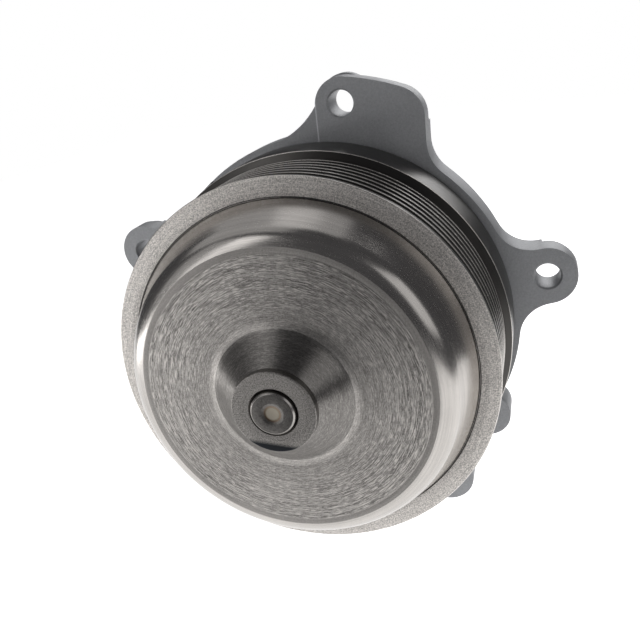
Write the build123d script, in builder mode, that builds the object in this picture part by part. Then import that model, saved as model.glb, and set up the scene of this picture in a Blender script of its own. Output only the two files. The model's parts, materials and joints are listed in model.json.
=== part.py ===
from build123d import *
import math
import os

os.makedirs("parts", exist_ok=True)

# Automotive coolant pump that bolts to an engine block, driven by a six-rib belt.
# The pump turns about Y. The origin is the centre of the mounting face, +Z is up, the
# pulley faces -Y and the impeller reaches into the block along +Y.
# A station is a distance in front of the mounting face, so y = -station.

FRONT_VIEW = Plane.XZ  # x to the right, y up, normal towards the pulley
PROFILE = Plane(origin=(0, 0, 0), x_dir=(1, 0, 0), z_dir=(0, 0, -1))  # x is radius, y is station

# Driving dimensions, in millimetres and degrees

# mounting plate and its five bolt ears
plate_thickness = 11.0
plate_radius = 63.7
ear_thickness = 7.5
ear_radius = 9.4
ear_boss_radius = 8.6
bolt_circle_radius = 73.6
bolt_hole_radius = 4.1
bolt_hole_chamfer = 0.5
ear_angles = [11.1, 82.7, 159.1, 228.0, 300.0]
top_ear_angle = 82.7
backing_radius = 74.0  # the plate is full thickness inside this radius
ear_blend_radius = 12.0

# the wide tab round the top ear
tab_left = 0.9
tab_right = 35.8
tab_tip_radius = 81.8
tab_inner_height = 50.0
tab_corner_radius = 10.0
tab_ear_corner_radius = 8.6
tab_blend_radius = 13.0
tab_step = 0.8
step_width = 40.0
step_height = 24.0
web_top = (0.9, 73.0)  # hollow edge from the tab down to the round plate
web_middle = (-4.8, 66.9)
web_foot = (-13.5, 62.2)

# a small cast pad beside the lower right ear
pad_angle = -35.5
pad_centre_radius = 63.7
pad_radius = 8.0

# spigot that centres the pump in the block, and the o-ring beside it
spigot_radius = 52.0
spigot_length = 12.0
spigot_chamfer = 0.8
spigot_hollow_inner = 30.0
spigot_hollow_outer = 45.0
spigot_hollow_depth = 7.0
spigot_hollow_taper = 2.0
seal_recess_radius = 26.0
o_ring_inner = 55.4
o_ring_outer = 58.6
o_ring_depth = 2.4
o_ring_side_gap = 0.1
o_ring_corner = 1.0

# bearing neck
neck_root_radius = 27.5
neck_root_chamfer = 4.0
neck_tip_radius = 24.0
neck_tip_chamfer = 1.0
neck_front = 55.0
rib_count = 6
rib_thickness = 4.0
rib_reach = 46.0
rib_foot_height = 3.0
rib_front = 46.0
rib_root_radius = 22.0  # inside the neck's wall
first_rib_angle = 30.0

# drain chamber between bearing and seal, and the hole that empties it
chamber_radius = 17.0
chamber_taper = 2.0
drain_station = 5.0
drain_hole_radius = 2.5
drain_filter_length = 5.0
drain_filter_inset = 0.6

# shaft bearing: balls in front, rollers behind, both running on the shaft
bearing_outer_radius = 19.05
bearing_bore_radius = 13.2
bearing_rear = 9.0
bearing_front = 57.0
bearing_chamfer = 0.8
shield_seat_radius = 14.2
shield_thickness = 2.2
shield_lip_radius = 8.15
shield_lip_width = 1.2
shield_lip_slope = 0.6
shield_dish_radius = 10.35
shield_dish_depth = 0.8
shield_inset = 0.4
ball_station = 47.0
ball_radius = 3.5
ball_pitch_radius = 11.1
ball_count = 8
raceway_clearance = 0.08
ball_cage_inner = 10.0
ball_cage_outer = 12.3
ball_cage_width = 10.0
roller_station = 23.0
roller_radius = 2.5
roller_length = 14.0
roller_pitch_radius = 10.6
roller_count = 10
roller_cage_inner = 9.3
roller_cage_outer = 11.9
roller_cage_width = 18.4
roller_chamfer = 0.3
pocket_clearance = 0.12

# shaft
shaft_radius = 8.0
shaft_nose_radius = 6.5
shaft_front = 81.35
shaft_shoulder_front = 58.0
shaft_tail_radius = 6.35
shaft_shoulder_rear = -16.6
shaft_rear = -31.0
shaft_chamfer = 0.45
nose_dish_radius = 3.3
nose_dish_floor_radius = 2.1
nose_dish_depth = 0.35

# pulley: belt track
rib_pitch = 3.56
groove_count = 6
crest_radius = 59.6
crest_half_width = 0.5
groove_depth = 2.9
groove_half_bottom = 0.22
first_groove_station = 50.58
rim_radius = 60.0
rim_front = 54.7
rim_inner_radius = 54.5
rim_edge = 0.3

# pulley: rear collar and the relief in front of it
collar_rear = 12.2
collar_front = 27.9
collar_radius = 61.7
collar_edge = 0.4
relief_radius = 57.2
relief_front = 30.2
relief_rear = 29.2

# pulley: cup, hub and hollow
cup_foot_radius = 53.7  # the wall leans in from here to the disc
cup_top_radius = 47.9
cup_front = 70.2
cup_corner_radius = 7.0
cup_groove_depth = 0.5
cup_groove_width = 0.35
cone_foot_radius = 21.5
cone_foot_blend = 6.0
hub_radius = 12.4
hub_front = 80.4
hub_collar_length = 2.4
hub_edge = 0.4
hub_bore_chamfer = 0.8
hub_rear = 58.5
hub_rear_radius = 13.5
hollow_front = 62.5
hollow_hub_radius = 17.0
hollow_cup_radius = 46.5
hollow_cup_rear = 57.0
hollow_track_radius = 51.2
hollow_track_front = 52.3
hollow_collar_radius = 55.0
hollow_collar_front = 24.0
hollow_collar_taper = 2.0
hollow_corner_radius = 3.0

# mechanical seal and slinger
seal_case_radius = 15.0
seal_case_wall = 0.8
seal_case_front = 1.0
seal_case_rear = -8.0
seal_flange_radius = 17.6
seal_case_eye_radius = 9.0
spring_radius = 12.2
spring_wire = 0.5
spring_front = -1.0
spring_length = 6.0
spring_pitch = 2.0
spring_end_gap = 1.5
bellows_inner = 8.8
bellows_outer = 10.9
bellows_wall = 0.9
bellows_head_radius = 12.9
bellows_head_rear = -0.4
bellows_rear = -8.6
bellows_foot_thickness = 1.5
ferrule_outer = 13.4
ferrule_rear = -10.9
face_ring_inner = 9.6
face_ring_outer = 13.0
face_ring_nose_outer = 12.0
face_ring_nose_length = 1.2
face_ring_rear = -12.5
face_gap = 0.05
seat_inner = 8.9
seat_outer = 13.6
seat_rear = -15.6
seat_cup_outer = 15.0
seat_cup_front = -13.5
seat_cup_rear = -16.6
slinger_station = 5.0
slinger_hub_radius = 10.5
slinger_outer = 14.5
slinger_width = 2.4
slinger_lip = 1.0

# impeller
impeller_radius = 40.0
impeller_front = -13.0
impeller_disc_thickness = 3.0
impeller_disc_taper = 0.6
impeller_hub_radius = 17.5
impeller_hub_fillet = 1.5
impeller_hub_nose_radius = 13.5
impeller_nose_chamfer = 1.0
impeller_rear = -31.0
vane_count = 7
vane_thickness = 2.4
vane_inner_radius = 12.5
vane_outer_radius = 38.5
vane_sweep = 52.0
vane_bow_radius = 27.0
vane_bow_sweep = 17.0
vane_rear = -28.0
vane_slope_start = 20.5
vane_tip_rear = -25.0
bush_radius = 9.5
bush_front = -17.0

# Derived dimensions

ear_front = plate_thickness
ear_rear = plate_thickness - ear_thickness
groove_half_width = rib_pitch / 2 - crest_half_width
groove_floor_radius = crest_radius - groove_depth
last_crest_station = first_groove_station - (groove_count - 0.5) * rib_pitch
ear_half_angle = math.degrees(math.asin(ear_radius / plate_radius))
clear = 1.0  # how far a cutting profile runs past the stock


def polar(radius, angle):
    """Point in the front view at a radius and an angle from +X."""
    return (radius * math.cos(math.radians(angle)), radius * math.sin(math.radians(angle)))


def nearest(sketch, x, y):
    """The vertex of a sketch nearest to a point."""
    return sketch.vertices().sort_by_distance(Vector(x, y, 0))[0]


def finish(piece, name):
    """Label a piece and write its STEP file."""
    piece.part.label = name
    export_step(piece.part, f"parts/{name}.step")


# Outline of the plate in the front view

with BuildSketch() as tab_outline:
    Circle(tab_tip_radius)
    with Locations(((tab_left + tab_right) / 2, tab_inner_height + tab_tip_radius / 2)):
        Rectangle(tab_right - tab_left, tab_tip_radius, mode=Mode.INTERSECT)
    left_tip = (tab_left, math.sqrt(tab_tip_radius**2 - tab_left**2))
    fillet(nearest(tab_outline, *left_tip), tab_ear_corner_radius)
    right_tip = (tab_right, math.sqrt(tab_tip_radius**2 - tab_right**2))
    fillet(nearest(tab_outline, *right_tip), tab_corner_radius)

with BuildSketch() as plate_outline:
    with Locations(Location((0, 0, 0), (0, 0, ear_angles[0]))):
        Circle(plate_radius)
    for ear_angle in ear_angles:
        if ear_angle == top_ear_angle:
            continue
        with Locations(Location((0, 0, 0), (0, 0, ear_angle))):
            with Locations((bolt_circle_radius / 2, 0)):
                Rectangle(bolt_circle_radius, 2 * ear_radius)
            with Locations((bolt_circle_radius, 0)):
                Circle(ear_radius)
    for ear_angle in ear_angles:
        if ear_angle == top_ear_angle:
            continue
        for side in (-1, 1):
            ear_corner = polar(plate_radius, ear_angle + side * ear_half_angle)
            fillet(nearest(plate_outline, *ear_corner), ear_blend_radius)
    add(tab_outline.sketch)
    tab_corner = (tab_right, math.sqrt(plate_radius**2 - tab_right**2))
    fillet(nearest(plate_outline, *tab_corner), tab_blend_radius)
    with BuildLine():
        ThreePointArc(web_top, web_middle, web_foot)
        Polyline(web_foot, (web_top[0], tab_inner_height), web_top)
    make_face()
    with Locations(polar(pad_centre_radius, pad_angle)):
        Circle(pad_radius)

# Cast housing: plate, spigot, bearing neck and ribs

with BuildPart() as pump_housing:
    with BuildSketch(FRONT_VIEW.offset(ear_rear)):
        add(plate_outline.sketch)
    extrude(amount=ear_thickness)
    with BuildSketch(FRONT_VIEW) as backing:
        add(plate_outline.sketch)
        Circle(backing_radius, mode=Mode.INTERSECT)
        for ear_angle in ear_angles:
            with Locations(polar(bolt_circle_radius, ear_angle)):
                Circle(ear_boss_radius)
    extrude(amount=ear_rear)

    with BuildSketch(PROFILE):
        with BuildLine():
            Polyline(
                (0, ear_front),
                (neck_root_radius + neck_root_chamfer, ear_front),
                (neck_root_radius, ear_front + neck_root_chamfer),
                (neck_tip_radius, neck_front - neck_tip_chamfer),
                (neck_tip_radius - neck_tip_chamfer, neck_front),
                (0, neck_front),
                close=True,
            )
        make_face()
    revolve(axis=Axis.Y)
    with BuildSketch(PROFILE):
        with BuildLine():
            Polyline(
                (rib_root_radius, ear_front),
                (rib_reach, ear_front),
                (rib_reach, ear_front + rib_foot_height),
                (neck_tip_radius, rib_front),
                (rib_root_radius, rib_front),
                close=True,
            )
        make_face()
    rib = extrude(amount=rib_thickness / 2, both=True, mode=Mode.PRIVATE)
    for rib_index in range(rib_count):
        add(rib.rotate(Axis.Y, first_rib_angle + rib_index * 360 / rib_count))
    with BuildSketch(PROFILE):
        with BuildLine():
            Polyline(
                (0, 0),
                (0, -spigot_length),
                (spigot_radius - spigot_chamfer, -spigot_length),
                (spigot_radius, -spigot_length + spigot_chamfer),
                (spigot_radius, 0),
                close=True,
            )
        make_face()
    revolve(axis=Axis.Y)

    # turned bores, from the impeller side to the pulley side
    with BuildSketch(PROFILE):
        with BuildLine():
            Polyline(
                (0, -spigot_length),
                (seal_recess_radius, -spigot_length),
                (seal_recess_radius, seal_case_rear),
                (seal_case_radius, seal_case_rear),
                (seal_case_radius, seal_case_front),
                (chamber_radius, seal_case_front + chamber_taper),
                (chamber_radius, bearing_rear),
                (bearing_outer_radius, bearing_rear),
                (bearing_outer_radius, neck_front),
                (0, neck_front),
                close=True,
            )
        make_face()
    revolve(axis=Axis.Y, mode=Mode.SUBTRACT)
    with BuildSketch(PROFILE):
        with BuildLine():
            Polyline(
                (spigot_hollow_inner, -spigot_length),
                (spigot_hollow_outer, -spigot_length),
                (spigot_hollow_outer - spigot_hollow_taper, -spigot_length + spigot_hollow_depth),
                (spigot_hollow_inner + spigot_hollow_taper, -spigot_length + spigot_hollow_depth),
                close=True,
            )
        make_face()
    revolve(axis=Axis.Y, mode=Mode.SUBTRACT)
    with BuildSketch(FRONT_VIEW):
        Circle(o_ring_outer)
        Circle(o_ring_inner, mode=Mode.SUBTRACT)
    extrude(amount=o_ring_depth, mode=Mode.SUBTRACT)
    with BuildSketch(Plane.XY.offset(-plate_radius - clear)):
        with Locations((0, -drain_station)):
            Circle(drain_hole_radius)
    extrude(amount=plate_radius - chamber_radius + 2 * clear, mode=Mode.SUBTRACT)

    # the plate steps down a little to the left of the tab
    with BuildSketch(FRONT_VIEW.offset(ear_front)):
        with Locations((tab_left - step_width / 2, bolt_circle_radius - step_height / 2)):
            Rectangle(step_width, step_height)
        Circle(collar_radius, mode=Mode.SUBTRACT)
    extrude(amount=-tab_step, mode=Mode.SUBTRACT)

    # bolt holes, chamfered at the front
    for ear_angle in ear_angles:
        with BuildSketch(FRONT_VIEW.offset(ear_front)):
            with Locations(polar(bolt_circle_radius, ear_angle)):
                Circle(bolt_hole_radius)
        extrude(amount=-ear_front, mode=Mode.SUBTRACT)
    hole_rims = [
        edge
        for edge in pump_housing.edges().filter_by(GeomType.CIRCLE)
        if math.isclose(edge.radius, bolt_hole_radius) and math.isclose(edge.center().Y, -ear_front)
    ]
    chamfer(hole_rims, bolt_hole_chamfer)
finish(pump_housing, "pump_housing")

with BuildPart() as flange_o_ring:
    with BuildSketch(PROFILE):
        with Locations(((o_ring_inner + o_ring_outer) / 2, o_ring_depth / 2)):
            RectangleRounded(o_ring_outer - o_ring_inner - o_ring_side_gap, o_ring_depth, o_ring_corner)
    revolve(axis=Axis.Y)
finish(flange_o_ring, "flange_o_ring")

with BuildPart() as drain_filter:
    with BuildSketch(Plane.XY.offset(-plate_radius + drain_filter_inset)):
        with Locations((0, -drain_station)):
            Circle(drain_hole_radius)
    extrude(amount=drain_filter_length)
finish(drain_filter, "drain_filter")

# Shaft bearing

with BuildPart() as bearing_outer_ring:
    with BuildSketch(PROFILE):
        with BuildLine():
            Polyline(
                (shield_seat_radius, bearing_rear),
                (bearing_outer_radius - bearing_chamfer, bearing_rear),
                (bearing_outer_radius, bearing_rear + bearing_chamfer),
                (bearing_outer_radius, bearing_front - bearing_chamfer),
                (bearing_outer_radius - bearing_chamfer, bearing_front),
                (shield_seat_radius, bearing_front),
                (shield_seat_radius, bearing_front - shield_inset - shield_thickness),
                (bearing_bore_radius, bearing_front - shield_inset - shield_thickness),
                (bearing_bore_radius, bearing_rear + shield_inset + shield_thickness),
                (shield_seat_radius, bearing_rear + shield_inset + shield_thickness),
                close=True,
            )
        make_face()
        with Locations((ball_pitch_radius, ball_station)):
            Circle(ball_radius + raceway_clearance, mode=Mode.SUBTRACT)
    revolve(axis=Axis.Y)
finish(bearing_outer_ring, "bearing_outer_ring")

for shield_name, outer_face, inward in (
    ("front_bearing_shield", bearing_front - shield_inset, -1),
    ("rear_bearing_shield", bearing_rear + shield_inset, 1),
):
    inner_face = outer_face + inward * shield_thickness
    dish_face = outer_face + inward * shield_dish_depth
    with BuildPart() as shield:
        with BuildSketch(PROFILE):
            with BuildLine():
                Polyline(
                    (shield_lip_radius, inner_face - inward * shield_lip_slope),
                    (shield_lip_radius + shield_lip_width, inner_face),
                    (shield_seat_radius, inner_face),
                    (shield_seat_radius, outer_face),
                    (shield_dish_radius, outer_face),
                    (shield_dish_radius - shield_dish_depth, dish_face),
                    (shield_lip_radius, dish_face),
                    close=True,
                )
            make_face()
        revolve(axis=Axis.Y)
    finish(shield, shield_name)

with BuildPart() as bearing_balls:
    with Locations(FRONT_VIEW.offset(ball_station)):
        with PolarLocations(ball_pitch_radius, ball_count):
            Sphere(ball_radius)
finish(bearing_balls, "bearing_balls")

with BuildPart() as ball_cage:
    with BuildSketch(FRONT_VIEW.offset(ball_station - ball_cage_width / 2)):
        Circle(ball_cage_outer)
        Circle(ball_cage_inner, mode=Mode.SUBTRACT)
    extrude(amount=ball_cage_width)
    for ball_index in range(ball_count):
        across, up = polar(1, ball_index * 360 / ball_count)
        pocket_plane = Plane(origin=(0, -ball_station, 0), z_dir=(across, 0, up))
        with BuildSketch(pocket_plane.offset(ball_cage_inner - clear)):
            Circle(ball_radius + pocket_clearance)
        extrude(amount=ball_cage_outer - ball_cage_inner + 2 * clear, mode=Mode.SUBTRACT)
finish(ball_cage, "ball_cage")

with BuildPart() as bearing_rollers:
    with BuildSketch(FRONT_VIEW.offset(roller_station - roller_length / 2)):
        with PolarLocations(roller_pitch_radius, roller_count):
            Circle(roller_radius)
    extrude(amount=roller_length)
    chamfer(bearing_rollers.edges().filter_by(GeomType.CIRCLE), roller_chamfer)
finish(bearing_rollers, "bearing_rollers")

with BuildPart() as roller_cage:
    with BuildSketch(FRONT_VIEW.offset(roller_station - roller_cage_width / 2)):
        Circle(roller_cage_outer)
        Circle(roller_cage_inner, mode=Mode.SUBTRACT)
    extrude(amount=roller_cage_width)
    with BuildSketch(FRONT_VIEW.offset(roller_station - roller_length / 2 - pocket_clearance)):
        with PolarLocations(roller_pitch_radius, roller_count):
            Circle(roller_radius + pocket_clearance)
    extrude(amount=roller_length + 2 * pocket_clearance, mode=Mode.SUBTRACT)
finish(roller_cage, "roller_cage")

# Shaft

with BuildPart() as shaft:
    with BuildSketch(PROFILE):
        with BuildLine():
            Polyline(
                (0, shaft_rear),
                (shaft_tail_radius - shaft_chamfer, shaft_rear),
                (shaft_tail_radius, shaft_rear + shaft_chamfer),
                (shaft_tail_radius, shaft_shoulder_rear),
                (shaft_radius, shaft_shoulder_rear),
                (shaft_radius, shaft_shoulder_front),
                (shaft_nose_radius, shaft_shoulder_front),
                (shaft_nose_radius, shaft_front - shaft_chamfer),
                (shaft_nose_radius - shaft_chamfer, shaft_front),
                (nose_dish_radius, shaft_front),
                (nose_dish_floor_radius, shaft_front - nose_dish_depth),
                (0, shaft_front - nose_dish_depth),
                close=True,
            )
        make_face()
        with Locations((ball_pitch_radius, ball_station)):
            Circle(ball_radius + raceway_clearance, mode=Mode.SUBTRACT)
    revolve(axis=Axis.Y)
finish(shaft, "shaft")

# Pulley, turned in one piece with its hub

groove_points = []
for groove_index in range(groove_count):
    groove_station = first_groove_station - groove_index * rib_pitch
    groove_points.append((crest_radius, groove_station + groove_half_width))
    groove_points.append((groove_floor_radius, groove_station + groove_half_bottom))
    groove_points.append((groove_floor_radius, groove_station - groove_half_bottom))
    groove_points.append((crest_radius, groove_station - groove_half_width))

with BuildPart() as pulley:
    with BuildSketch(PROFILE) as pulley_profile:
        with BuildLine():
            Polyline(
                (shaft_nose_radius, hub_rear),
                (shaft_nose_radius, hub_front - hub_bore_chamfer),
                (shaft_nose_radius + hub_bore_chamfer, hub_front),
                (hub_radius - hub_edge, hub_front),
                (hub_radius, hub_front - hub_edge),
                (hub_radius, hub_front - hub_collar_length),
                (cone_foot_radius, cup_front),
                (cup_top_radius, cup_front),
                (cup_foot_radius, rim_front - cup_groove_depth),
                (cup_foot_radius + cup_groove_width, rim_front - cup_groove_depth),
                (rim_inner_radius, rim_front),
                (rim_radius - rim_edge, rim_front),
                (rim_radius, rim_front - rim_edge),
                (rim_radius, first_groove_station + groove_half_width + rim_edge),
                *groove_points,
                (crest_radius, last_crest_station - crest_half_width),
                (relief_radius, relief_front),
                (relief_radius, relief_rear),
                (collar_radius - collar_edge, collar_front),
                (collar_radius, collar_front - collar_edge),
                (collar_radius, collar_rear + collar_edge),
                (collar_radius - collar_edge, collar_rear),
                (hollow_collar_radius, collar_rear),
                (hollow_collar_radius, hollow_collar_front),
                (hollow_track_radius, hollow_collar_front + hollow_collar_taper),
                (hollow_track_radius, hollow_track_front),
                (hollow_cup_radius, hollow_cup_rear),
                (hollow_cup_radius, hollow_front),
                (hollow_hub_radius, hollow_front),
                (hub_rear_radius, hub_rear),
                close=True,
            )
        make_face()
        fillet(nearest(pulley_profile, cup_top_radius, cup_front), cup_corner_radius)
        fillet(nearest(pulley_profile, cone_foot_radius, cup_front), cone_foot_blend)
        fillet(nearest(pulley_profile, hollow_cup_radius, hollow_front), hollow_corner_radius)
    revolve(axis=Axis.Y)
finish(pulley, "pulley")

# Slinger and mechanical seal

with BuildPart() as slinger:
    with BuildSketch(PROFILE):
        with BuildLine():
            Polyline(
                (shaft_radius, slinger_station - slinger_width),
                (slinger_hub_radius, slinger_station - slinger_width),
                (slinger_outer, slinger_station),
                (slinger_outer, slinger_station + slinger_lip),
                (shaft_radius, slinger_station + slinger_lip),
                close=True,
            )
        make_face()
    revolve(axis=Axis.Y)
finish(slinger, "slinger")

with BuildPart() as seal_case:
    with BuildSketch(PROFILE):
        with BuildLine():
            Polyline(
                (seal_case_eye_radius, seal_case_front),
                (seal_case_radius, seal_case_front),
                (seal_case_radius, seal_case_rear),
                (seal_flange_radius, seal_case_rear),
                (seal_flange_radius, seal_case_rear - seal_case_wall),
                (seal_case_radius - seal_case_wall, seal_case_rear - seal_case_wall),
                (seal_case_radius - seal_case_wall, seal_case_front - seal_case_wall),
                (seal_case_eye_radius, seal_case_front - seal_case_wall),
                close=True,
            )
        make_face()
    revolve(axis=Axis.Y)
finish(seal_case, "seal_case")

with BuildPart() as seal_bellows:
    with BuildSketch(PROFILE):
        with BuildLine():
            Polyline(
                (bellows_inner, seal_case_front - seal_case_wall),
                (bellows_head_radius, seal_case_front - seal_case_wall),
                (bellows_head_radius, bellows_head_rear),
                (bellows_outer, bellows_head_rear),
                (bellows_outer, bellows_rear + bellows_foot_thickness),
                (face_ring_outer, bellows_rear + bellows_foot_thickness),
                (face_ring_outer, bellows_rear),
                (face_ring_inner, bellows_rear),
                (bellows_outer - bellows_wall, bellows_rear + bellows_foot_thickness),
                (bellows_outer - bellows_wall, spring_front),
                (bellows_inner, spring_front),
                close=True,
            )
        make_face()
    revolve(axis=Axis.Y)
finish(seal_bellows, "seal_bellows")

with BuildPart() as seal_spring:
    with BuildLine() as coil:
        Helix(
            pitch=spring_pitch,
            height=spring_length - spring_end_gap,
            radius=spring_radius,
            center=(0, -spring_front + spring_wire, 0),
            direction=(0, 1, 0),
        )
    with BuildSketch(Plane(origin=coil.line @ 0, z_dir=coil.line % 0)):
        Circle(spring_wire)
    sweep(is_frenet=True)
finish(seal_spring, "seal_spring")

with BuildPart() as seal_ferrule:
    with BuildSketch(PROFILE):
        with BuildLine():
            Polyline(
                (face_ring_outer, bellows_rear),
                (ferrule_outer, bellows_rear),
                (ferrule_outer, ferrule_rear),
                (face_ring_outer, ferrule_rear),
                close=True,
            )
        make_face()
    revolve(axis=Axis.Y)
finish(seal_ferrule, "seal_ferrule")

with BuildPart() as seal_face_ring:
    with BuildSketch(PROFILE):
        with BuildLine():
            Polyline(
                (face_ring_inner, bellows_rear),
                (face_ring_outer, bellows_rear),
                (face_ring_outer, face_ring_rear + face_ring_nose_length),
                (face_ring_nose_outer, face_ring_rear + face_ring_nose_length),
                (face_ring_nose_outer, face_ring_rear),
                (face_ring_inner, face_ring_rear),
                close=True,
            )
        make_face()
    revolve(axis=Axis.Y)
finish(seal_face_ring, "seal_face_ring")

with BuildPart() as seal_seat:
    with BuildSketch(PROFILE):
        with BuildLine():
            Polyline(
                (seat_inner, face_ring_rear - face_gap),
                (seat_outer, face_ring_rear - face_gap),
                (seat_outer, seat_rear),
                (seat_inner, seat_rear),
                close=True,
            )
        make_face()
    revolve(axis=Axis.Y)
finish(seal_seat, "seal_seat")

with BuildPart() as seal_seat_cup:
    with BuildSketch(PROFILE):
        with BuildLine():
            Polyline(
                (shaft_radius, seat_cup_front),
                (seat_inner, seat_cup_front),
                (seat_inner, seat_rear),
                (seat_outer, seat_rear),
                (seat_outer, seat_cup_front),
                (seat_cup_outer, seat_cup_front),
                (seat_cup_outer, seat_cup_rear),
                (shaft_radius, seat_cup_rear),
                close=True,
            )
        make_face()
    revolve(axis=Axis.Y)
finish(seal_seat_cup, "seal_seat_cup")

# Impeller

with BuildSketch() as vane_outline:
    with BuildLine():
        ThreePointArc(
            polar(vane_inner_radius, 0),
            polar(vane_bow_radius, vane_bow_sweep),
            polar(vane_outer_radius, vane_sweep),
        )
    trace(line_width=vane_thickness)

with BuildPart() as impeller:
    with BuildSketch(FRONT_VIEW.offset(vane_rear)):
        for vane_index in range(vane_count):
            with Locations(Location((0, 0, 0), (0, 0, vane_index * 360 / vane_count))):
                add(vane_outline.sketch)
    extrude(amount=impeller_front - vane_rear)
    with BuildSketch(PROFILE):
        with BuildLine():
            Polyline(
                (0, impeller_front),
                (impeller_radius, impeller_front),
                (impeller_radius, impeller_front - impeller_disc_thickness + impeller_disc_taper),
                (impeller_hub_radius, impeller_front - impeller_disc_thickness - impeller_hub_fillet),
                (impeller_hub_nose_radius, impeller_rear + impeller_nose_chamfer),
                (impeller_hub_nose_radius - impeller_nose_chamfer, impeller_rear),
                (0, impeller_rear),
                close=True,
            )
        make_face()
    revolve(axis=Axis.Y)
    # the vanes get lower towards the tip
    with BuildSketch(PROFILE):
        with BuildLine():
            Polyline(
                (vane_slope_start, vane_rear - clear),
                (vane_slope_start, vane_rear),
                (impeller_radius + clear, vane_tip_rear),
                (impeller_radius + clear, vane_rear - clear),
                close=True,
            )
        make_face()
    revolve(axis=Axis.Y, mode=Mode.SUBTRACT)
    with BuildSketch(PROFILE):
        with BuildLine():
            Polyline(
                (0, impeller_front),
                (seat_cup_outer, impeller_front),
                (seat_cup_outer, seat_cup_rear),
                (bush_radius, seat_cup_rear),
                (bush_radius, impeller_rear),
                (0, impeller_rear),
                close=True,
            )
        make_face()
    revolve(axis=Axis.Y, mode=Mode.SUBTRACT)
finish(impeller, "impeller")

with BuildPart() as impeller_bush:
    with BuildSketch(FRONT_VIEW.offset(impeller_rear)):
        Circle(bush_radius)
        Circle(shaft_tail_radius, mode=Mode.SUBTRACT)
    extrude(amount=bush_front - impeller_rear)
finish(impeller_bush, "impeller_bush")
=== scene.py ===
import json
import math

import bpy
from mathutils import Matrix, Vector


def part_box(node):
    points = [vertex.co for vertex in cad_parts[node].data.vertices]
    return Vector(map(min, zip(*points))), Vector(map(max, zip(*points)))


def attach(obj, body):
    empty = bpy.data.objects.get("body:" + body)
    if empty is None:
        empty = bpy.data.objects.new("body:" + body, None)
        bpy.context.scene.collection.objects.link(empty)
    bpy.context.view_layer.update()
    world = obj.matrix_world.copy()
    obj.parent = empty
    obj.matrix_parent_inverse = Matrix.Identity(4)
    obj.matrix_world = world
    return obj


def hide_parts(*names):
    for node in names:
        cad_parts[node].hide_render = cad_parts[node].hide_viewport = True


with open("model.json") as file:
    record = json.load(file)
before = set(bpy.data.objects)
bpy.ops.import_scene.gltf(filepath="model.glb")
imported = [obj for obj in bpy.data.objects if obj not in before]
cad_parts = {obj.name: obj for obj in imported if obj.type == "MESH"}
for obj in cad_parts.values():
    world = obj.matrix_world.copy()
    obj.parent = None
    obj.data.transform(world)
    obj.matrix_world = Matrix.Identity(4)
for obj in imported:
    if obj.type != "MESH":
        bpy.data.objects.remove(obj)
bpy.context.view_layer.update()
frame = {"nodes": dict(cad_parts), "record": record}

# Sizes and places, in millimetres. Stations are distances in front of the mounting face, so
# y = -station.
MM = 0.001
pulley_low, pulley_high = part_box("pulley")
shaft_low, shaft_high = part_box("shaft")
HUB_FRONT = -pulley_low.y / MM  # station of the hub's end face
COLLAR_REAR = -pulley_high.y / MM
COLLAR_RADIUS = pulley_high.x / MM
SHAFT_FRONT = -shaft_low.y / MM
SHAFT_REAR = -shaft_high.y / MM

# Pulley: hub, cone, disc and cup
HUB_REAR = HUB_FRONT - 21.9
HUB_REAR_RADIUS = 13.5
HUB_RADIUS = 12.4
HUB_COLLAR_LENGTH = 2.4
HUB_BORE_RADIUS = 6.5
HUB_BORE_CHAMFER = 0.8
CONE_FOOT_RADIUS = 21.5
CONE_FOOT_BLEND = 6.0
CUP_FRONT = HUB_FRONT - 10.2
DISC_RADIUS = 42.5
DISC_STEP = 0.12
DULL_RING_RADIUS = 44.1
CUP_TOP_RADIUS = 47.9
CUP_CORNER = 7.0
CUP_FOOT_RADIUS = 53.7
JOINT_DEPTH = 0.25  # fine groove between the cup and the rim's face
JOINT_WIDTH = 0.2

# Pulley: rim and belt track
RIM_FRONT = HUB_FRONT - 25.7
RIM_RADIUS = 60.0
RIM_EDGE = 0.35
GROOVE_COUNT = 6
GROOVE_PITCH = 3.56
GROOVE_DEPTH = 2.9
GROOVE_HALF_BOTTOM = 0.22
FIRST_GROOVE = RIM_FRONT - 4.12
CREST_RADIUS = 59.6
CREST_HALF_WIDTH = 0.5
TRACK_REAR = RIM_FRONT - 24.2
RELIEF_RADIUS = 57.2
COLLAR_FRONT = RIM_FRONT - 26.9

# Pulley: the hollow behind it
HOLLOW_COLLAR_RADIUS = 55.0
HOLLOW_COLLAR_FRONT = 24.0
HOLLOW_COLLAR_TAPER = 2.0
HOLLOW_TRACK_RADIUS = 51.2
HOLLOW_TRACK_FRONT = 52.3
HOLLOW_CUP_RADIUS = 46.5
HOLLOW_CUP_REAR = 57.0
HOLLOW_HUB_RADIUS = 17.0
HOLLOW_FRONT = 62.5

# Shaft
SHAFT_RADIUS = 8.0
NOSE_RADIUS = 6.5
NOSE_REAR = 58.0
NOSE_CHAMFER = 0.45
DISH_RADIUS = 3.3  # shallow dish in the middle of the shaft's end
DISH_FLOOR_RADIUS = 2.1
DISH_DEPTH = 0.35
SEAT_RADIUS = 6.35  # the impeller's seat at the shaft's rear
SEAT_FRONT = -16.6

# Housing: the step in the plate, left of the wide tab round the top ear, where a highlight is painted
# along its edge
STEP_EDGE = 0.9
STEP_FOOT = 61.0
STEP_TOP = 73.0

STEPS = 256  # facets round a turned piece
NEARLY_STRAIGHT = math.pi - 0.02
SHARP_EDGE = math.radians(32)


# Camera: fitted to the photo, above and to the right of the pulley

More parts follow.
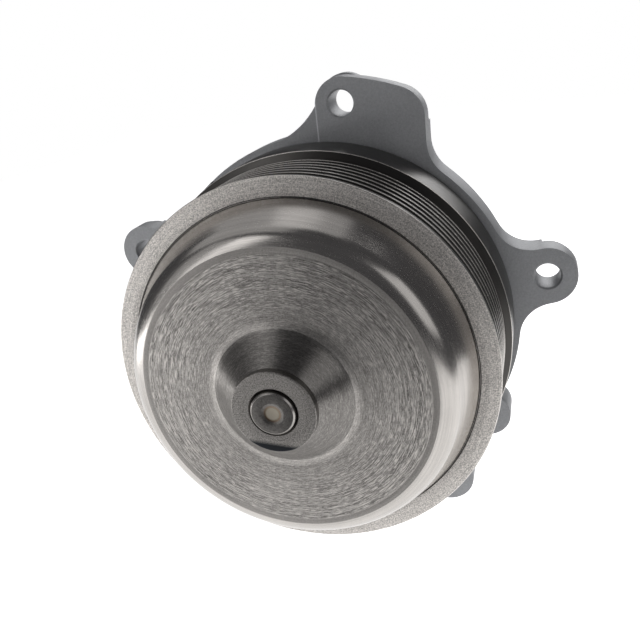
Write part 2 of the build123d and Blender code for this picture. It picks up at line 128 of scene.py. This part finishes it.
camera_data = bpy.data.cameras.new("camera")
camera_data.lens = 42.99
camera_data.sensor_width = 36.0
camera = bpy.data.objects.new("camera", camera_data)
bpy.context.scene.collection.objects.link(camera)
camera_right = Vector((0.95923, 0.26142, -0.10749))
camera_up = Vector((0.0, 0.38027, 0.92488))
camera_back = Vector((0.28266, -0.88716, 0.36477))
camera_place = Vector((71.43, -RIM_FRONT - 198.26, 98.45)) * MM
axes = Matrix((camera_right, camera_up, camera_back)).transposed()
camera.matrix_world = Matrix.Translation(camera_place) @ axes.to_4x4()
bpy.context.scene.camera = camera


# Materials


class Graph:
    """Builds one node material, wiring values and nodes together by name."""

    def __init__(self, name):
        self.material = bpy.data.materials.new(name)
        self.material.use_nodes = True
        self.tree = self.material.node_tree
        self.tree.nodes.clear()
        output = self.tree.nodes.new("ShaderNodeOutputMaterial")
        self.shader = self.tree.nodes.new("ShaderNodeBsdfPrincipled")
        self.tree.links.new(self.shader.outputs["BSDF"], output.inputs["Surface"])

    def plug(self, socket, value):
        if isinstance(value, bpy.types.NodeSocket):
            self.tree.links.new(value, socket)
        else:
            socket.default_value = value

    def node(self, kind, inputs=None, **settings):
        made = self.tree.nodes.new("ShaderNode" + kind)
        for key, value in settings.items():
            setattr(made, key, value)
        for key, value in (inputs or {}).items():
            self.plug(made.inputs[key], value)
        return made

    def math(self, operation, a, b=0.0):
        return self.node("Math", {0: a, 1: b}, operation=operation).outputs[0]

    def mix(self, factor, a, b):
        made = self.node("Mix", data_type="RGBA")
        self.plug(made.inputs[0], factor)
        self.plug(made.inputs[6], a)
        self.plug(made.inputs[7], b)
        return made.outputs[2]

    def ramp(self, value, low, high, to_low=0.0, to_high=1.0):
        inputs = {"Value": value, "From Min": low, "From Max": high}
        inputs |= {"To Min": to_low, "To Max": to_high}
        return self.node("MapRange", inputs).outputs["Result"]

    def place(self):
        return self.node("TexCoord").outputs["Object"]

    def coordinates(self):
        split = self.node("SeparateXYZ", {0: self.place()})
        return split.outputs[0], split.outputs[1], split.outputs[2]

    def noise(self, scale, detail=3.0, roughness=0.55):
        inputs = {"Vector": self.place(), "Scale": scale, "Detail": detail, "Roughness": roughness}
        return self.node("TexNoise", inputs).outputs["Fac"]

    def radius(self):
        """Distance from the pump's axis."""
        x, _, z = self.coordinates()
        squares = self.math("ADD", self.math("MULTIPLY", x, x), self.math("MULTIPLY", z, z))
        return self.math("SQRT", squares)

    def turned(self, fineness, round_length, detail=4.0, roughness=0.6):
        """Noise in fine rings about Y.

        fineness is the rings per metre, and round_length sets how many streaks go round a turn.
        """
        x, y, z = self.coordinates()
        radius = self.math("MAXIMUM", self.radius(), 2.0 * MM)
        across = self.math("MULTIPLY", self.math("DIVIDE", x, radius), round_length)
        up = self.math("MULTIPLY", self.math("DIVIDE", z, radius), round_length)
        ring = self.node(
            "CombineXYZ",
            {0: self.math("MULTIPLY", radius, fineness), 1: self.math("MULTIPLY", y, fineness), 2: across},
        )
        inputs = {"Vector": ring.outputs[0], "W": up, "Scale": 1.0}
        inputs |= {"Detail": detail, "Roughness": roughness}
        return self.node("TexNoise", inputs, noise_dimensions="4D").outputs["Fac"]

    def bump(self, height, distance, strength=1.0, normal=None):
        inputs = {"Height": height, "Distance": distance, "Strength": strength}
        if normal is not None:
            inputs["Normal"] = normal
        return self.node("Bump", inputs).outputs["Normal"]

    def surface(self, **values):
        names = {
            "color": "Base Color",
            "metallic": "Metallic",
            "roughness": "Roughness",
            "normal": "Normal",
            "anisotropic": "Anisotropic",
            "anisotropic_turn": "Anisotropic Rotation",
            "tangent": "Tangent",
        }
        for key, value in values.items():
            self.plug(self.shader.inputs[names[key]], value)
        return self.material


def grey(level, warmth=0.0):
    return (level * (1 + warmth), level, level * (1 - warmth), 1.0)


def turned_steel(name, level, roughness, anisotropic=0.0, fleck=0.0, grain=0.0, depth=0.004, marks=None):
    """Lathe-turned steel, which spreads its gloss across the tool's rings, with flecks along them.

    fleck and grain are how far each changes the brightness, and fleck may be a function that gives
    it by place. marks is a function that changes the colour, last of all.
    """
    g = Graph(name)
    rings = g.turned(3600.0, 0.8)
    broad = g.turned(800.0, 1.5, detail=2.0)
    flecks = g.turned(5400.0, 15.0, detail=1.0, roughness=0.5)
    hairs = g.turned(7600.0, 4.0, detail=1.0)
    speckle = g.noise(2600.0, detail=3.0, roughness=0.65)
    patches = g.noise(40.0, detail=3.0)
    amount = fleck(g) if callable(fleck) else fleck
    bright_flecks = g.ramp(flecks, 0.52, 0.62, -0.25, 1.6)
    fine_lines = g.ramp(hairs, 0.36, 0.64, -0.6, 0.6)
    shade = g.math("MULTIPLY", g.math("ADD", bright_flecks, fine_lines), amount)
    for layer, reach in ((rings, 0.09), (broad, 0.07), (speckle, grain), (patches, 0.07)):
        shade = g.math("ADD", shade, g.ramp(layer, 0.32, 0.68, -reach, reach))
    color = g.mix(g.ramp(shade, -0.8, 0.8), grey(level * 0.2, 0.06), grey(level * 1.8, 0.05))
    if marks is not None:
        color = marks(g, color)
    rough = g.ramp(g.math("ADD", flecks, speckle), 0.7, 1.3, roughness - 0.04, roughness + 0.06)
    normal = g.bump(rings, depth * MM)
    normal = g.bump(speckle, (0.003 + 0.03 * grain) * MM, 0.7, normal)
    if anisotropic > 0:
        tangent = g.node("Tangent", direction_type="RADIAL", axis="Y").outputs["Tangent"]
        g.surface(anisotropic=anisotropic, anisotropic_turn=0.25, tangent=tangent)
    return g.surface(color=color, metallic=1.0, roughness=rough, normal=normal)


def face_fleck(g):
    """Flecks grow coarser from the cone out to the rim of the faced disc."""
    return g.ramp(g.radius(), 22.0 * MM, 36.0 * MM, 0.22, 0.62)


def spot_mark(g, color, size, soft, tint):
    """Tints a round spot on the axis, size in radius, its edge fading over soft, both in millimetres."""
    inside = g.ramp(g.radius(), (size - soft) * MM, (size + soft) * MM, 1.0, 0.0)
    return g.mix(inside, color, tint)


def hub_marks(g, color):
    """Darkens a smooth crescent along the lower edge of the hub's end face."""
    x, _, z = g.coordinates()
    slant = g.math("ADD", z, g.math("MULTIPLY", x, 0.12))
    return g.mix(g.ramp(slant, -10.6 * MM, -9.3 * MM, 1.0, 0.0), color, (0.022, 0.024, 0.028, 1))


def shaft_marks(g, color):
    """The pale polished spot at the middle of the shaft's end, inside a brownish ring."""
    color = spot_mark(g, color, 2.45, 0.3, (0.17, 0.12, 0.08, 1))
    return spot_mark(g, color, 1.95, 0.3, (0.44, 0.40, 0.33, 1))


def step_edge_highlight(g, color):
    """Paints a highlight along the edge of the step in the plate, beside the top ear's tab."""
    x, y, z = g.coordinates()
    off_edge = g.math("ABSOLUTE", g.math("SUBTRACT", x, STEP_EDGE * MM))
    painted_highlight = g.ramp(off_edge, 0.15 * MM, 0.45 * MM, 0.75, 0.0)
    above_foot = g.ramp(z, STEP_FOOT * MM, (STEP_FOOT + 1.0) * MM)
    below_top = g.ramp(z, (STEP_TOP + 2.5) * MM, STEP_TOP * MM)
    on_front = g.ramp(y, -8.0 * MM, -8.5 * MM)
    for limit in (above_foot, below_top, on_front):
        painted_highlight = g.math("MULTIPLY", painted_highlight, limit)
    return g.mix(painted_highlight, color, (0.85, 0.86, 0.88, 1))


def cast_aluminium(name):
    """Sand-cast aluminium: matte, with a fine grain and faint cloudiness."""
    g = Graph(name)
    grain = g.noise(1700.0, detail=5.0, roughness=0.7)
    clouds = g.noise(70.0, detail=4.0)
    shade = g.math("ADD", g.ramp(grain, 0.3, 0.7, -0.22, 0.22), g.ramp(clouds, 0.3, 0.7, -0.1, 0.1))
    color = g.mix(g.ramp(shade, -0.4, 0.4), (0.30, 0.305, 0.315, 1), (0.50, 0.505, 0.52, 1))
    # A painted highlight along the edge of the step beside the top ear.
    color = step_edge_highlight(g, color)
    rough = g.ramp(clouds, 0.3, 0.7, 0.50, 0.64)
    normal = g.bump(grain, 0.07 * MM)
    return g.surface(color=color, metallic=0.55, roughness=rough, normal=normal)


def plain(name, color, metallic, roughness, grain_scale=900.0, depth=0.02):
    """A moulded or pressed finish with a fine grain and slight colour variation."""
    g = Graph(name)
    grain = g.noise(grain_scale, detail=4.0)
    clouds = g.noise(90.0)
    dark = tuple(c * 0.8 for c in color) + (1.0,)
    light = tuple(min(1.0, c * 1.2) for c in color) + (1.0,)
    tint = g.mix(g.ramp(g.math("ADD", grain, clouds), 0.7, 1.3), dark, light)
    rough = g.ramp(clouds, 0.3, 0.7, roughness - 0.05, roughness + 0.08)
    return g.surface(color=tint, metallic=metallic, roughness=rough, normal=g.bump(grain, depth * MM))


# Finishes of turned pieces: brightness, roughness, anisotropy
RIM_FACE = turned_steel("rim_face_steel", 0.62, 0.45, 0.3, fleck=0.10, grain=0.48)
DISC_FACE = turned_steel("disc_face_steel", 0.355, 0.42, 0.5, fleck=face_fleck, grain=0.24)
CONE_FACE = turned_steel("cone_steel", 0.20, 0.34, 0.7, fleck=0.24, grain=0.20)
DULL_RING = turned_steel("dull_ring_steel", 0.30, 0.48, grain=0.20)
CUP_WALL = turned_steel("cup_wall_steel", 0.45, 0.22, 0.2, grain=0.05, depth=0.001)
HUB_FACE = turned_steel("hub_face_steel", 0.26, 0.45, grain=0.60, marks=hub_marks)
SHAFT_END = turned_steel("shaft_end_steel", 0.14, 0.34, grain=0.30, marks=shaft_marks)
# Dark steel of the belt track and the hollow, also used as painted shade in the hub bore's mouth.
DARK_STEEL_AND_SHADE = turned_steel("belt_track_steel_and_painted_shade", 0.07, 0.32, 0.3, grain=0.04, depth=0.002)
# Bright steel painted on the belt track's crests and on the rim's and collar's outer edges: painted
# highlight lines.
EDGE_HIGHLIGHT = turned_steel("edge_highlight_steel", 0.62, 0.30, 0.3, grain=0.15)
GROUND = turned_steel("ground_steel", 0.36, 0.30, 0.5, grain=0.08)
BEARING = turned_steel("bearing_steel", 0.55, 0.22, grain=0.03)
CAST = cast_aluminium("cast_aluminium")

SLOT_MATERIALS = {
    "cast_aluminium": CAST,
    "turned_steel": DARK_STEEL_AND_SHADE,
    "ground_steel": GROUND,
    "bearing_steel": BEARING,
    "cage_plastic": plain("cage_plastic", (0.62, 0.52, 0.33), 0.0, 0.45),
    "seal_rubber": plain("seal_rubber", (0.025, 0.025, 0.027), 0.0, 0.6),
    "seal_brass": plain("seal_brass", (0.62, 0.45, 0.20), 1.0, 0.28, 500.0, 0.004),
    "spring_steel": plain("spring_steel", (0.50, 0.50, 0.50), 1.0, 0.25, 700.0, 0.003),
    "seal_carbon": plain("seal_carbon", (0.04, 0.04, 0.045), 0.0, 0.35),
    "seal_ceramic": plain("seal_ceramic", (0.78, 0.75, 0.68), 0.0, 0.18, 1500.0, 0.003),
    "o_ring_rubber": plain("o_ring_rubber", (0.03, 0.12, 0.05), 0.0, 0.5),
    "filter_foam": plain("filter_foam", (0.40, 0.36, 0.30), 0.0, 0.9, 1600.0, 0.3),
    "impeller_plastic": plain("impeller_plastic", (0.035, 0.035, 0.037), 0.0, 0.42),
}
slot_of = {entry["node"]: entry["material_slot"] for entry in frame["record"]["subparts"]}
for node_name, node_object in frame["nodes"].items():
    node_object.data.materials.clear()
    node_object.data.materials.append(SLOT_MATERIALS[slot_of[node_name]])


# Turned pieces


def rounded(corners):
    """Points along a closed outline of (radius, station, fillet) corners, each corner rounded.

    Two fillets that need more than the edge between them share it by size.
    """
    points = []
    for index, (radius, station, fillet) in enumerate(corners):
        here = Vector((radius, station))
        before = Vector(corners[index - 1][:2]) - here
        after = Vector(corners[(index + 1) % len(corners)][:2]) - here
        turn = before.angle(after)
        if fillet <= 0 or turn > NEARLY_STRAIGHT:
            points.append(here)
            continue
        before_share = fillet / (fillet + corners[index - 1][2])
        after_share = fillet / (fillet + corners[(index + 1) % len(corners)][2])
        room = 0.98 * min(before.length * before_share, after.length * after_share)
        reach = min(fillet / math.tan(turn / 2), room)
        size = reach * math.tan(turn / 2)
        inward = (before.normalized() + after.normalized()).normalized()
        middle = here + inward * (size / math.sin(turn / 2))
        start = here + before.normalized() * reach - middle
        end = here + after.normalized() * reach - middle
        sweep = start.angle_signed(end)
        facet = 5.0 if size > 1.0 else 15.0  # degrees
        count = max(2, math.ceil(abs(math.degrees(sweep)) / facet))
        for step in range(count + 1):
            angle = -sweep * step / count
            points.append(middle + Matrix.Rotation(angle, 2) @ start)
    return points


def lathe(name, corners, material_at, body, node):
    """A piece turned about Y from a closed outline, in place of a CAD node.

    material_at gives the material at a radius and a station.
    """
    outline = rounded(corners)
    vertices = []
    for step in range(STEPS):
        angle = 2 * math.pi * step / STEPS
        for radius, station in outline:
            vertices.append((radius * math.cos(angle) * MM, -station * MM, radius * math.sin(angle) * MM))
    count = len(outline)
    faces = []
    for step in range(STEPS):
        here, beyond = step * count, ((step + 1) % STEPS) * count
        for index in range(count):
            following = (index + 1) % count
            face = [here + index, here + following]
            if outline[following].x > 0:
                face.append(beyond + following)
            if outline[index].x > 0:
                face.append(beyond + index)
            if len(face) > 2:
                faces.append(face)
    mesh = bpy.data.meshes.new(name)
    mesh.from_pydata(vertices, [], faces)
    materials = []
    for face in mesh.polygons:
        radius = math.hypot(face.center.x, face.center.z) / MM
        material = material_at(radius, -face.center.y / MM)
        if material not in materials:
            materials.append(material)
            mesh.materials.append(material)
        face.material_index = materials.index(material)
        face.use_smooth = True
    mesh.update()
    piece = bpy.data.objects.new(name, mesh)
    bpy.context.scene.collection.objects.link(piece)
    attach(piece, body)
    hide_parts(node)
    return piece


def pulley_outline():
    """The pulley's section, from the hub bore over the front and the belt track to the hollow."""
    corners = [
        (HUB_BORE_RADIUS, HUB_REAR, 0.2),
        (HUB_BORE_RADIUS, HUB_FRONT - HUB_BORE_CHAMFER, 0.1),
        (HUB_BORE_RADIUS + HUB_BORE_CHAMFER, HUB_FRONT, 0.1),
        (HUB_RADIUS, HUB_FRONT, 0.4),
        (HUB_RADIUS, HUB_FRONT - HUB_COLLAR_LENGTH, 0.2),
        (CONE_FOOT_RADIUS, CUP_FRONT, CONE_FOOT_BLEND),
        (DISC_RADIUS - 0.3, CUP_FRONT, 0.1),
        (DISC_RADIUS, CUP_FRONT - DISC_STEP, 0.1),
        (CUP_TOP_RADIUS, CUP_FRONT - DISC_STEP, CUP_CORNER),
        (CUP_FOOT_RADIUS, RIM_FRONT - JOINT_DEPTH, 0.1),
        (CUP_FOOT_RADIUS + JOINT_WIDTH, RIM_FRONT - JOINT_DEPTH, 0.05),
        (CUP_FOOT_RADIUS + 2 * JOINT_WIDTH, RIM_FRONT, 0.1),
        (RIM_RADIUS, RIM_FRONT, RIM_EDGE),
    ]
    groove_half_width = GROOVE_PITCH / 2 - CREST_HALF_WIDTH
    floor_radius = CREST_RADIUS - GROOVE_DEPTH
    for groove in range(GROOVE_COUNT):
        middle = FIRST_GROOVE - groove * GROOVE_PITCH
        corners += [
            (CREST_RADIUS, middle + groove_half_width, 0.25),
            (floor_radius, middle + GROOVE_HALF_BOTTOM, 0.2),
            (floor_radius, middle - GROOVE_HALF_BOTTOM, 0.2),
            (CREST_RADIUS, middle - groove_half_width, 0.25),
        ]
    corners += [
        (CREST_RADIUS, TRACK_REAR, 0.2),
        (RELIEF_RADIUS, TRACK_REAR - 0.3, 0.3),
        (RELIEF_RADIUS, TRACK_REAR - 1.3, 0.3),
        (COLLAR_RADIUS, COLLAR_FRONT, 0.25),
        (COLLAR_RADIUS, COLLAR_REAR, 0.4),
        (HOLLOW_COLLAR_RADIUS, COLLAR_REAR, 0.4),
        (HOLLOW_COLLAR_RADIUS, HOLLOW_COLLAR_FRONT, 0.5),
        (HOLLOW_TRACK_RADIUS, HOLLOW_COLLAR_FRONT + HOLLOW_COLLAR_TAPER, 0.5),
        (HOLLOW_TRACK_RADIUS, HOLLOW_TRACK_FRONT, 1.5),
        (HOLLOW_CUP_RADIUS, HOLLOW_CUP_REAR, 1.5),
        (HOLLOW_CUP_RADIUS, HOLLOW_FRONT, 3.0),
        (HOLLOW_HUB_RADIUS, HOLLOW_FRONT, 2.0),
        (HUB_REAR_RADIUS, HUB_REAR, 0.5),
    ]
    return corners


def pulley_finish(radius, station):
    """Which material a spot on the pulley has, painted shade and highlights included."""
    if station > HUB_FRONT - 0.3 and radius > HUB_BORE_RADIUS + 0.7:
        return HUB_FACE
    # The hub bore's chamfer and mouth get the dark steel: painted shade in the gap round the shaft's end.
    if station > HUB_FRONT - 1.2 and radius < HUB_BORE_RADIUS + 0.9:
        return DARK_STEEL_AND_SHADE
    if station > CUP_FRONT - 0.05 and radius < DISC_RADIUS - 0.2:
        return CONE_FACE if radius < CONE_FOOT_RADIUS - 0.5 else DISC_FACE
    if station > CUP_FRONT - 0.45 and radius < DULL_RING_RADIUS:
        return DULL_RING
    if station > RIM_FRONT - 0.12 and radius > CUP_FOOT_RADIUS + 0.4:
        return RIM_FACE
    # The rim's rounded outer edge: a painted highlight line.
    if station > RIM_FRONT - RIM_EDGE and radius > RIM_RADIUS - 0.5:
        return EDGE_HIGHLIGHT
    if station > RIM_FRONT - 0.5 and 26.0 < radius < CUP_FOOT_RADIUS + 0.1:
        return CUP_WALL
    # The crests and the collar's front edge: painted highlight lines.
    on_crest = CREST_RADIUS - 0.12 < radius < CREST_RADIUS - 0.01 and station > TRACK_REAR - 0.3
    on_collar_edge = radius > COLLAR_RADIUS - 0.35 and station > COLLAR_FRONT - 0.2
    return EDGE_HIGHLIGHT if on_crest or on_collar_edge else DARK_STEEL_AND_SHADE


lathe("pulley_turned", pulley_outline(), pulley_finish, "rotor", "pulley")


def shaft_outline():
    """The shaft's section, from the impeller's seat to the dished end in the hub."""
    return [
        (0.0, SHAFT_REAR, 0),
        (SEAT_RADIUS, SHAFT_REAR, 0.45),
        (SEAT_RADIUS, SEAT_FRONT, 0.2),
        (SHAFT_RADIUS, SEAT_FRONT, 0.3),
        (SHAFT_RADIUS, NOSE_REAR, 0.3),
        (NOSE_RADIUS, NOSE_REAR, 0.3),
        (NOSE_RADIUS, SHAFT_FRONT - NOSE_CHAMFER, 0.2),
        (NOSE_RADIUS - NOSE_CHAMFER, SHAFT_FRONT, 0.15),
        (DISH_RADIUS, SHAFT_FRONT, 0.3),
        (DISH_FLOOR_RADIUS, SHAFT_FRONT - DISH_DEPTH, 0.4),
        (0.0, SHAFT_FRONT - DISH_DEPTH, 0),
    ]


def shaft_finish(radius, station):
    """Which finish a spot on the shaft has."""
    on_end = station > SHAFT_FRONT - 2 * DISH_DEPTH and radius < NOSE_RADIUS - 0.5
    return SHAFT_END if on_end else GROUND


lathe("shaft_ground", shaft_outline(), shaft_finish, "rotor", "shaft")


# Housing: the cast shape with its edges softened

housing_node = frame["nodes"]["pump_housing"]
housing = bpy.data.objects.new("housing_cast", housing_node.data.copy())
bpy.context.scene.collection.objects.link(housing)
bpy.context.view_layer.objects.active = housing
housing.select_set(True)
weld = housing.modifiers.new("weld", "WELD")
weld.merge_threshold = 0.005 * MM
flatten = housing.modifiers.new("flatten", "DECIMATE")
flatten.decimate_type = "DISSOLVE"
flatten.angle_limit = math.radians(0.5)
soften = housing.modifiers.new("soften", "BEVEL")
soften.width = 0.5 * MM
soften.segments = 3
soften.limit_method = "ANGLE"
soften.angle_limit = SHARP_EDGE
soften.harden_normals = True
for modifier in list(housing.modifiers):
    bpy.ops.object.modifier_apply(modifier=modifier.name)
bpy.ops.object.shade_auto_smooth(angle=SHARP_EDGE)
for modifier in list(housing.modifiers):
    bpy.ops.object.modifier_apply(modifier=modifier.name)
housing.select_set(False)
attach(housing, "housing")
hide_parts("pump_housing")


# Stage and light, in metres. The floor is a glowing table, and the bay cut in its front edge gives
# the pulley's front something dark to reflect. Every lamp is a soft box.

FLOOR_DROP = 0.30
floor_mesh = bpy.data.meshes.new("floor")
floor_outline = [
    (-1.7, -2.2),
    (-0.65, -0.80),
    (-0.32, -0.62),
    (-0.10, -0.38),
    (0.02, -0.36),
    (0.12, -0.62),
    (0.28, -0.90),
    (0.50, -1.05),
    (1.0, -0.90),
    (1.0, 3.0),
    (-1.7, 3.0),
]
floor_corners = [(x, y, -FLOOR_DROP) for x, y in floor_outline]
floor_mesh.from_pydata(floor_corners, [], [range(len(floor_corners))])
floor = bpy.data.objects.new("floor", floor_mesh)
bpy.context.scene.collection.objects.link(floor)
floor_paint = Graph("floor_paint")
floor_paint.surface(color=(0.90, 0.90, 0.90, 1), roughness=0.9)
floor_paint.shader.inputs["Emission Color"].default_value = (1, 1, 1, 1)
floor_paint.shader.inputs["Emission Strength"].default_value = 0.95
floor_mesh.materials.append(floor_paint.material)


def soft_box(name, azimuth, elevation, distance, width, height, brightness):
    """A soft box facing the pump. Azimuth 0 is in front of the pulley, and 90 is towards +X."""
    turn, rise = math.radians(azimuth), math.radians(elevation)
    heading = Vector((math.sin(turn) * math.cos(rise), -math.cos(turn) * math.cos(rise), math.sin(rise)))
    data = bpy.data.lights.new(name, "AREA")
    data.shape = "RECTANGLE"
    data.size = width
    data.size_y = height
    data.energy = 4.0 * brightness * width * height
    lamp = bpy.data.objects.new(name, data)
    bpy.context.scene.collection.objects.link(lamp)
    lamp.location = heading * distance + Vector((0, pulley_low.y / 2, 0))
    lamp.rotation_euler = heading.to_track_quat("Z", "Y").to_euler()
    lamp.visible_camera = False


# Azimuth and elevation in degrees, distance, width and height in metres, and brightness
soft_box("front_left_box", -33, 18, 1.2, 0.30, 1.30, 1.20)
soft_box("front_left_fill", -52, 22, 1.2, 0.50, 1.00, 0.28)
soft_box("front_right_box", 60, 22, 1.2, 0.80, 0.80, 0.60)
soft_box("left_box", -70, -14, 1.2, 0.80, 0.26, 3.0)
soft_box("overhead_box", 180, 67, 1.0, 0.60, 0.50, 0.28)
soft_box("overhead_fill", -110, 60, 1.0, 1.00, 1.00, 0.32)
soft_box("rear_box", 168, 30, 1.5, 1.2, 1.0, 2.0)

world = bpy.data.worlds.new("studio")
bpy.context.scene.world = world
world.use_nodes = True
world_tree = world.node_tree
world_output = world_tree.nodes["World Output"]
room_light = world_tree.nodes["Background"]
room_light.inputs["Color"].default_value = (0.08, 0.08, 0.084, 1)
backdrop = world_tree.nodes.new("ShaderNodeBackground")
backdrop.inputs["Color"].default_value = (1, 1, 1, 1)
chooser = world_tree.nodes.new("ShaderNodeMixShader")
ray_kind = world_tree.nodes.new("ShaderNodeLightPath")
world_tree.links.new(ray_kind.outputs["Is Camera Ray"], chooser.inputs[0])
world_tree.links.new(room_light.outputs[0], chooser.inputs[1])
world_tree.links.new(backdrop.outputs[0], chooser.inputs[2])
world_tree.links.new(chooser.outputs[0], world_output.inputs["Surface"])

bpy.context.scene.view_settings.view_transform = "Standard"
